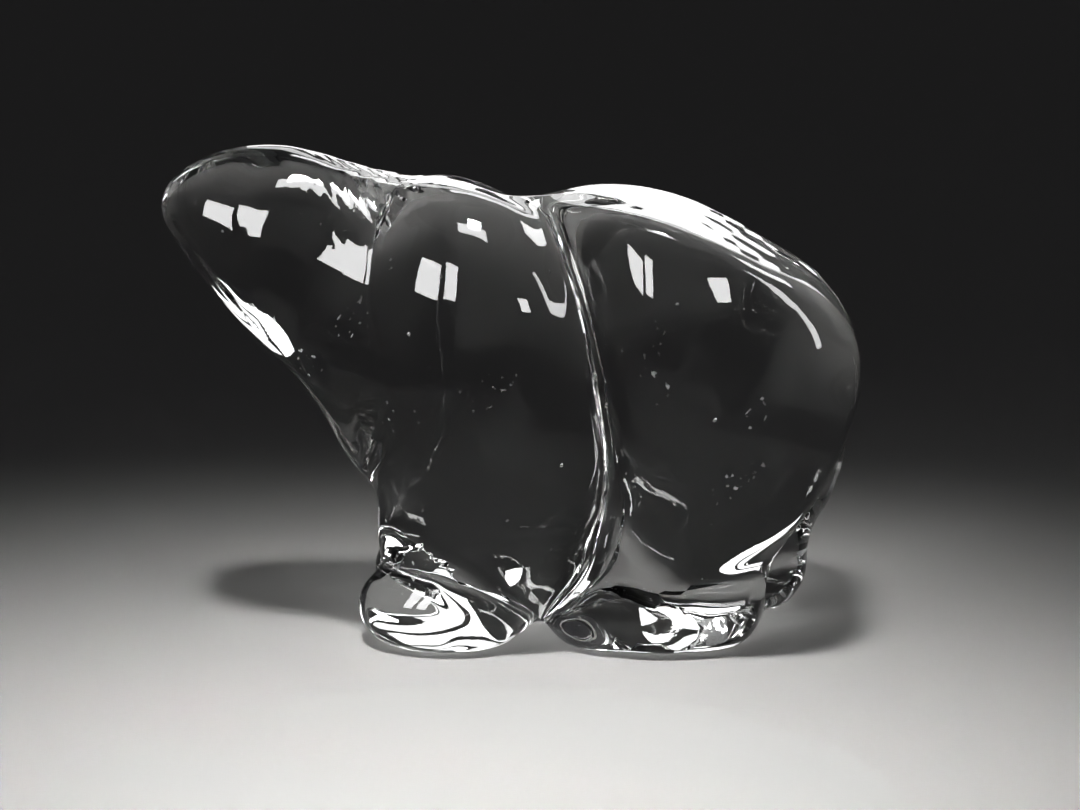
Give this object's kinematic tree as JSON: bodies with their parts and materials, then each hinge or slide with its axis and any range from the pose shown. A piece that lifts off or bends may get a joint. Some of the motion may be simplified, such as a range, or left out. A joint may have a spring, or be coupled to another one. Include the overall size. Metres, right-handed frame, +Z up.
{
  "type": "crystal glass figurine",
  "caption": "Solid clear crystal glass figurine of a standing polar bear with its head raised, a flat-topped back and smooth rounded paws; a free-standing ornament.",
  "frame": {"origin": "on the surface the paws stand on, under the middle of the overall box", "axes": "+Z up, head towards -X, tail towards +X, the bear's left side towards -Y"},
  "size_m": [0.1152, 0.0574, 0.081],
  "materials": {
    "crystal_glass": "fire-polished, water clear"
  },
  "bodies": {
    "root": {"glass_bear": "crystal_glass"}
  },
  "joints": []
}
